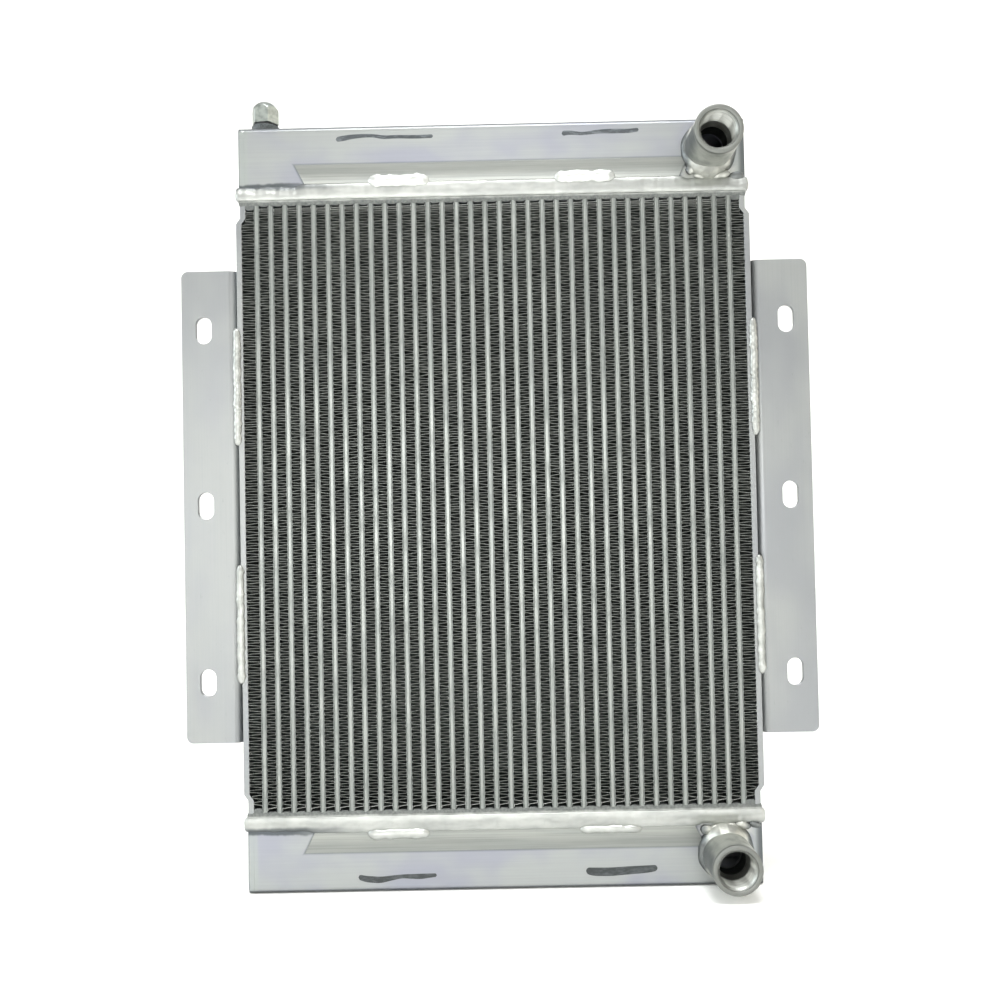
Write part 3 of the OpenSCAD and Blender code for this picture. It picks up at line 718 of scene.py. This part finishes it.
# %% Fillets round the ports, with second passes where they meet the seam, and round the boss
second_passes = {               # place from the port's axis (z away from the seam), width, height
    "upper_port": [(-14, -18, 14, 9), (-5, -23.5, 18, 7), (10, -24, 18, 7), (24, -25.5, 13, 8)],
    "lower_port": [(-16, -21, 13, 8), (-6, -22, 16, 7), (4, -23.5, 16, 7), (15, -24.5, 14, 7),
                   (25, -25, 10, 6)],
}
for port, passes in second_passes.items():
    low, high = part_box(port)
    toward = 1 if port == "upper_port" else -1
    centre_x, centre_z, radius = (low.x + high.x) / 2, (low.z + high.z) / 2, (high.x - low.x) / 2
    shells = [fillet((centre_x, tank_face, centre_z), (0, -1, 0), (0, 0, -toward), radius, 3.6 * MM,
                     5 + toward, 0.9, 2.4)]
    for k, (x, z, width, height) in enumerate(passes):
        at = np.array((centre_x + x * MM, tank_face - 1.4 * MM, centre_z + toward * z * MM))
        half = np.array([width / 2 * MM, 0, 0.1 * toward * width / 2 * MM])
        shells.append(bead(at - half, at + half, (0, 0, 1), (0, -1, 0), height / 2 * MM,
                           2.6 * MM, 60 + k, 0.42 * width * MM, 0.02))
    piece(port + "_fillet", shells, port_weld_metal, [port + "_weld"])

low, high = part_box("bleed_boss")
bleed_x, boss_r = (low.x + high.x) / 2, (high.x - low.x) / 2
piece("bleed_boss_fillet", [fillet((bleed_x, 0, low.z), (0, 0, 1), (1, 0, 0), boss_r, 2.8 * MM, 8)],
      weld_metal, ["bleed_boss_weld"])

# %% [markdown]
# The seam runs round the whole joint. Its inner edge follows two rectangles, the core's end and
# the tank, which differ by a few millimetres, so each point of the outline says how far it has
# gone from one to the other. At a corner the outline fans round a quarter turn. It was laid in
# two passes, so a shallow groove wanders along its middle, and beside the stiffening strip it
# fills the corner up to the strip's edge.

# %% The seam bands
SEAM_LOW = -5.2 * MM          # where the bead starts, on the core's side of the joint
TOE, TOE_T = 3.9 * MM, 0.8 * MM         # height and thickness of the dull toe
SEAM_PROUD, FILL, GROOVE = 3.3 * MM, 2.8 * MM, 0.35 * MM    # bead, fill by the strip, groove
SEAM_ROW = 1.1 * MM           # from one outline to the next
SEAM_SUNK = -0.3 * MM         # how far its underside reaches into the core and the tank


def seam_band(core, tank, joint_z, grow, seed):
    """core and tank are half sizes (x, y); grow is 1 where the tank is above the joint."""
    corners = np.array([(-1, -1), (1, -1), (1, 1), (-1, 1)])
    normals = np.array([(0, -1), (1, 0), (0, 1), (-1, 0)])
    stations = []                     # where on the core, where on the tank, direction
    for a, b, n0, n1 in zip(corners, np.roll(corners, -1, 0), normals, np.roll(normals, -1, 0)):
        length = np.abs((b - a) * core).sum()
        for t in np.linspace(0, 1, int(length / SEAM_ROW) + 1):
            stations.append(((a + (b - a) * t) * core, (a + (b - a) * t) * tank, n0))
        for turn in np.linspace(0, pi / 2, 6)[1:-1]:
            stations.append((b * core, b * tank, cos(turn) * n0 + sin(turn) * n1))
    on_core, on_tank, direction = (np.array([s[k] for s in stations], float) for k in range(3))
    middle_line = (on_core + on_tank) / 2 + direction * SEAM_PROUD
    gap = np.linalg.norm(np.roll(middle_line, -1, 0) - middle_line, axis=1)
    s = np.concatenate([[0], np.cumsum(gap)[:-1]])
    span = gap.sum()
    phase = 2 * pi * s * round(span / RIPPLE) / span
    swell = 1 + 0.09 * wander(s, 19 * MM, seed, span)
    drift = 0.5 * MM * wander(s, 28 * MM, seed + 1, span)
    reach = 0.7 * MM * wander(s, 9 * MM, seed + 2, span)
    groove_at = 0.1 + 0.25 * wander(s, 45 * MM, seed + 3, span)
    # the corner beside the strip is filled, and the fill fades out past the strip's ends
    filled = np.clip((-strip_low.x - np.abs(on_tank[:, 0])) / (10 * MM), 0, 1)
    filled = filled * (direction[:, 1] < -0.9)
    filled = filled * filled * (3 - 2 * filled)
    arc = np.radians(np.linspace(-90, 90, 17))
    share, bulge = (1 + np.sin(arc)) / 2, np.cos(arc) ** 0.8
    rows = []
    for k in range(len(s)):
        top = seam_edge + drift[k] * (1 - filled[k]) - 0.5 * MM + 1.4 * MM * filled[k]
        ripple = 0.03 * np.sin(phase[k] + 1.4 * np.cos(arc))
        groove = GROOVE * np.exp(-((np.sin(arc) - groove_at[k]) / 0.22) ** 2)
        full = SEAM_PROUD * bulge * (0.9 * swell[k] + ripple) - groove
        fill = share * filled[k]
        stand = TOE_T * (1 - share) + full * (1 - 0.45 * fill) + FILL * fill
        outline = [(0.0, SEAM_SUNK, SEAM_LOW - TOE + 0.3 * MM),
                   (0.0, 0.15 * MM, SEAM_LOW - TOE + reach[k]), (0.0, TOE_T, SEAM_LOW - TOE / 2)]
        outline += list(zip(share, stand, SEAM_LOW + (top - SEAM_LOW) * share))
        outline += [(1.0, SEAM_SUNK, top - 0.3 * MM), (1.0, SEAM_SUNK, 0.5 * MM),
                    (0.0, SEAM_SUNK, -0.5 * MM)]
        row = []
        for part_way, out, up in outline:
            flat = on_core[k] * (1 - part_way) + on_tank[k] * part_way + direction[k] * out
            row.append((flat[0], flat[1], joint_z + grow * up))
        rows.append(row)
    return skin(rows, ring=True)


SIDE_T = 5 * MM               # thickness of a side plate, outside the last bars
core_half = (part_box("lower_air_bars")[1].x + SIDE_T, plates_high.y)
tank_size = (tank_half, -tank_face)
for part, joint_z, grow in (("upper", joints_z[1], 1), ("lower", joints_z[0], -1)):
    points, faces = seam_band(core_half, tank_size, joint_z, grow, 21 + grow)
    low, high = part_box(part + "_seam_weld")
    points[:, :2] = np.clip(points[:, :2], low[:2], high[:2])    # no drop stands past the solid
    piece(part + "_seam_band", [(points, faces)], seam_metal,
          [part + "_seam_weld"])

# %% [markdown]
# ## The ports
# A port is a turned boss with a female pipe thread, G1: eleven turns to the inch, which is
# 2.309 mm a turn. The thread is a helix, so a ring's radius depends on both the depth and the
# angle round it; since one turn moves it by exactly one pitch, the grid closes on itself. The
# thread fades in behind the mouth's chamfer and fades out where the tap stopped.

# %% Turned ports with a real thread
THREAD_PITCH, THREAD_R, ROOT_R = 2.309 * MM, 15.15 * MM, 16.6 * MM
THREAD_LEN, CHAMFER, PASSAGE_R = 24 * MM, 1.6 * MM, 13 * MM
THREAD_END = 5 * MM           # how long a cone the tap's drill left behind the thread
LIP_DEEP = 1.4 * MM           # how far the lip is rounded back
for part in ("upper", "lower"):
    low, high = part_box(part + "_port")
    centre_x, centre_z, outer = (low.x + high.x) / 2, (low.z + high.z) / 2, (high.x - low.x) / 2
    turn = np.linspace(0, 2 * pi, 80, endpoint=False)
    profile = [(high.y, outer), (high.y - 0.5 * MM, outer)]       # y, radius
    inner = THREAD_R + CHAMFER
    middle, half_lip = (outer + inner) / 2, (outer - inner) / 2
    for t in np.radians(np.linspace(0, 180, 13)):      # a softly rounded lip
        profile.append((low.y + LIP_DEEP * (1 - sin(t) ** 0.7), middle + half_lip * cos(t)))
    thread_from = LIP_DEEP + CHAMFER
    for depth in np.arange(thread_from, THREAD_LEN, THREAD_PITCH / 9):
        fade = min(1, (depth - thread_from) / (2 * MM)) * min(1, (THREAD_LEN - depth) / (3 * MM))
        groove = 0.5 - 0.5 * np.cos(2 * pi * depth / THREAD_PITCH + turn)
        profile.append((low.y + depth, THREAD_R + (ROOT_R - THREAD_R) * fade * groove ** 0.8))
    profile += [(low.y + THREAD_LEN, THREAD_R), (low.y + THREAD_LEN + THREAD_END, PASSAGE_R),
                (high.y, PASSAGE_R)]
    rings = [np.stack([centre_x + radius * np.cos(turn), np.full(len(turn), at_y),
                       centre_z + radius * np.sin(turn)], -1) for at_y, radius in profile]
    port = piece(part + "_threaded_port", [skin(rings, ring=True)], turned_metal,
                 [part + "_port"], crease=50)
    port.data.materials.append(cut_metal)
    port.data.materials.append(passage_metal)
    for face in port.data.polygons:
        from_axis = hypot(face.center.x - centre_x, face.center.z - centre_z)
        if from_axis < inner:
            behind_thread = face.center.y > low.y + THREAD_LEN + THREAD_END
            face.material_index = 2 if behind_thread else 1

# %% [markdown]
# ## Ink on the tanks
# The shop put four marks on the tanks with a thick felt pen: plain bars with no writing. Each is
# a thin closed ribbon, a twentieth of a millimetre proud, whose line and width wander as a hand
# does. A ribbon is better than a painted patch, because its edge stays sharp at any distance.

# %% Pen strokes
def stroke(stations, joint_z, toward):
    """A mark with round ends. A station is x, distance from the seam's joint and width, in mm."""
    along, beyond, width = np.array(stations, float).T
    x_at = np.linspace(along[0], along[-1], 120)
    even = np.ones(13) / 13
    line, wide = (np.convolve(np.pad(np.interp(x_at, along, v), 6, "edge"), even, "valid")
                  for v in (beyond, width))
    from_end = np.minimum(x_at - x_at[0], x_at[-1] - x_at)
    rounded = np.clip(1 - from_end / (wide / 2), 0, 0.99)
    half = wide / 2 * (1 - rounded ** 2) ** 0.5
    under, over = tank_face + 0.03 * MM, tank_face - 0.05 * MM
    return skin([[(a, under, b - w), (a, over, b - w), (a, over, b + w), (a, under, b + w)]
                 for a, b, w in zip(x_at * MM, joint_z + toward * line * MM, half * MM)])


strokes = {
    "upper_ink_left": ("worn", [
        (-137, 49.2, 4), (-130, 50.3, 5.2), (-124, 51.4, 4), (-112, 52.2, 3.2), (-103, 52, 3),
        (-95, 50.2, 3.4), (-85, 50.7, 3), (-67, 50.2, 3.2), (-55, 50.4, 3.2), (-51, 50.6, 3)]),
    "upper_ink_right": ("worn", [
        (63, 50.3, 4.8), (70, 51, 3.8), (81, 49.6, 2.8), (95, 51.3, 3.4), (106, 51.5, 4.2),
        (122, 51.2, 3.8), (131, 52.3, 3.4)]),
    "lower_ink_left": ("fresh", [
        (-128, 48.4, 4.4), (-122, 50.3, 5.6), (-109, 51.4, 5.6), (-99, 49.8, 4.2),
        (-90, 48.5, 3.2), (-75, 49, 4.8), (-60, 48, 3)]),
    "lower_ink_right": ("fresh", [
        (70, 46.8, 5.8), (77, 47.8, 7.2), (91, 48.1, 7.4), (108, 47.1, 7), (124, 46.3, 6.4),
        (132, 45.4, 5)]),
}
for name, (kind, stations) in strokes.items():
    joint_z, toward = (joints_z[1], 1) if name.startswith("upper") else (joints_z[0], -1)
    piece(name, [stroke(stations, joint_z, toward)], inks[kind], crease=0)

# %% [markdown]
# ## Finishes for the solid parts
# The parts that keep their solid shape still need broken edges, because nothing real is sharp. A
# Bevel modifier does that without touching the mesh. Solid models arrive with their faces apart,
# so a Weld modifier joins them first, and Decimate turns the triangles of each flat face back into
# one face, or the bevel would fold the thinnest triangles over. Hardened normals keep the flat
# faces flat, so that only the narrow broken edge turns.

# %% Materials and broken edges
finishes = {
    "separator_plates": (sheet_edge_metal, 0), "front_oil_bars": (bar_metal, 0.45),
    "rear_oil_bars": (bar_metal, 0.45), "upper_air_bars": (shaded_air_bar_metal, 0.3),
    "lower_air_bars": (shaded_air_bar_metal, 0.3), "oil_turbulators": (fin_metal, 0),
    "left_side_plate": (plate_metal, 0.5), "right_side_plate": (plate_metal, 0.5),
    "upper_tank": (sheet, 0), "lower_tank": (sheet, 0),
    "upper_tank_left_cap": (sheet, 0.2), "upper_tank_right_cap": (sheet, 0.2),
    "lower_tank_left_cap": (sheet, 0.2), "lower_tank_right_cap": (sheet, 0.2),
    "upper_stiffener": (strip_metal, 0.3), "lower_stiffener": (strip_metal, 0.3),
    "bleed_boss": (turned_metal, 0.5), "bleed_adapter": (phosphate, 0.5),
    "bleed_seal": (rubber, 0.3), "bleed_plug": (zinc, 0.4),
    "left_bracket": (plate_metal, 0.4), "right_bracket": (plate_metal, 0.4),
}
for name, (finish, broken) in finishes.items():
    part = cad[name]
    part.data.materials.clear()
    part.data.materials.append(finish)
    join = part.modifiers.new("join_faces", "WELD")
    join.merge_threshold = 0.002 * MM
    if name != "bleed_plug":        # its hexagon has no thin triangles
        flat = part.modifiers.new("whole_flats", "DECIMATE")
        flat.decimate_type, flat.angle_limit = "DISSOLVE", radians(0.2)
    if broken:
        edge = part.modifiers.new("broken_edges", "BEVEL")
        edge.width, edge.segments = broken * MM, 2
        edge.limit_method, edge.angle_limit = "ANGLE", radians(35)
        edge.use_clamp_overlap = False
        edge.harden_normals = True
print(len(finishes), "solid parts keep their shape")

# %% [markdown]
# ## The studio
# Bare metal shows whatever stands round it, so the studio is one big white shell: a floor, a
# cove and a wall, turned about a vertical axis so that it looks alike from every side. A wide
# soft light stands behind the camera at half height, which puts the broad highlight across the
# middle of the bars, and a small one above it lights the upper tank. Another hangs overhead. The
# one called on_floor has a grid, so it reaches only the floor, which lights the cooler from below.
# Cool light comes from the left and warm light from the right, and two lights at the back keep
# the wall white.

# %% A round white shell
FLOOR_R, COVE, WALL_TOP = 3.4, 1.0, 4.2
floor_z = float(cad_box[0][2])
outline = [(0.02, 0.0), (FLOOR_R, 0.0)]
outline += [(FLOOR_R + COVE * sin(t), COVE - COVE * cos(t)) for t in np.linspace(0, pi / 2, 10)[1:]]
outline += [(FLOOR_R + COVE, WALL_TOP)]
turn = np.linspace(0, 2 * pi, 96, endpoint=False)
rows = [[(r * cos(t), r * sin(t), floor_z + h) for t in turn] for r, h in outline]
paper = new_finish("matt_white_paper", Roughness=0.9)
wear_it(paper, layer(paper, "#f9f9f7", "#fdfdfb", grain(paper, 33, 33, 33), 0, 1))
points = np.array(rows).reshape(-1, 3)
count = len(turn)
faces = [[k * count + j, k * count + (j + 1) % count, (k + 1) * count + (j + 1) % count,
          (k + 1) * count + j] for k in range(len(rows) - 1) for j in range(count)]
faces.append(list(range(count))[::-1])
studio_shell = mesh_object("studio_shell", points, faces, paper)
studio_shell.data.shade_smooth()

# %% Soft lights
lamps = {                       # place, what it faces, width and height, power, colour
    "behind_camera": ((-0.25, -2.3, 0.42), (0, 0, 0.36), (1.7, 0.5), 13, "#ffffff"),
    "above_camera": ((0.0, -2.3, 1.5), (0, 0, 0.64), (0.7, 0.5), 3, "#ffffff"),
    "overhead": ((0.0, -0.6, 3.6), (0, 0, 0.4), (4.0, 3.2), 30, "#ffffff"),
    "on_floor": ((0.0, -1.0, 3.0), (0, -0.9, 0), (1.2, 0.8), 11, "#ffffff"),
    "left_wall": ((-3.0, -0.8, 1.5), (0, 0, 0.35), (1.6, 2.0), 42, "#eff8ff"),
    "right_wall": ((3.0, -0.5, 1.6), (0, 0, 0.35), (1.6, 2.0), 12, "#fff1df"),
    "rear": ((0.0, 3.0, 2.4), (0, 0, 0.35), (2.0, 1.6), 42, "#ffffff"),
    "backdrop": ((0.0, 1.6, 2.6), (0, 4.4, 0.8), (3.0, 1.0), 40, "#ffffff"),
}
for name, (at, aim, size, power, tint) in lamps.items():
    lamp = new_object(name, bpy.data.lights.new(name, "AREA"))
    lamp.data.shape, lamp.data.size, lamp.data.size_y = "RECTANGLE", size[0], size[1]
    lamp.data.energy, lamp.data.color = power, linear(tint)[:3]
    if name == "on_floor":          # a grid narrows its beam
        lamp.data.spread = radians(60)
    lamp.location = at
    lamp.rotation_euler = (Vector(aim) - Vector(at)).to_track_quat("-Z", "Y").to_euler()

world = bpy.data.worlds.new("soft_daylight")
bpy.context.scene.world = world
world.use_nodes = True
sky = world.node_tree.nodes["Background"].inputs
sky["Color"].default_value, sky["Strength"].default_value = linear("#fbfbfa"), 0.56
bpy.context.scene.view_settings.view_transform = "Standard"
print(len(lamps), "soft lights")
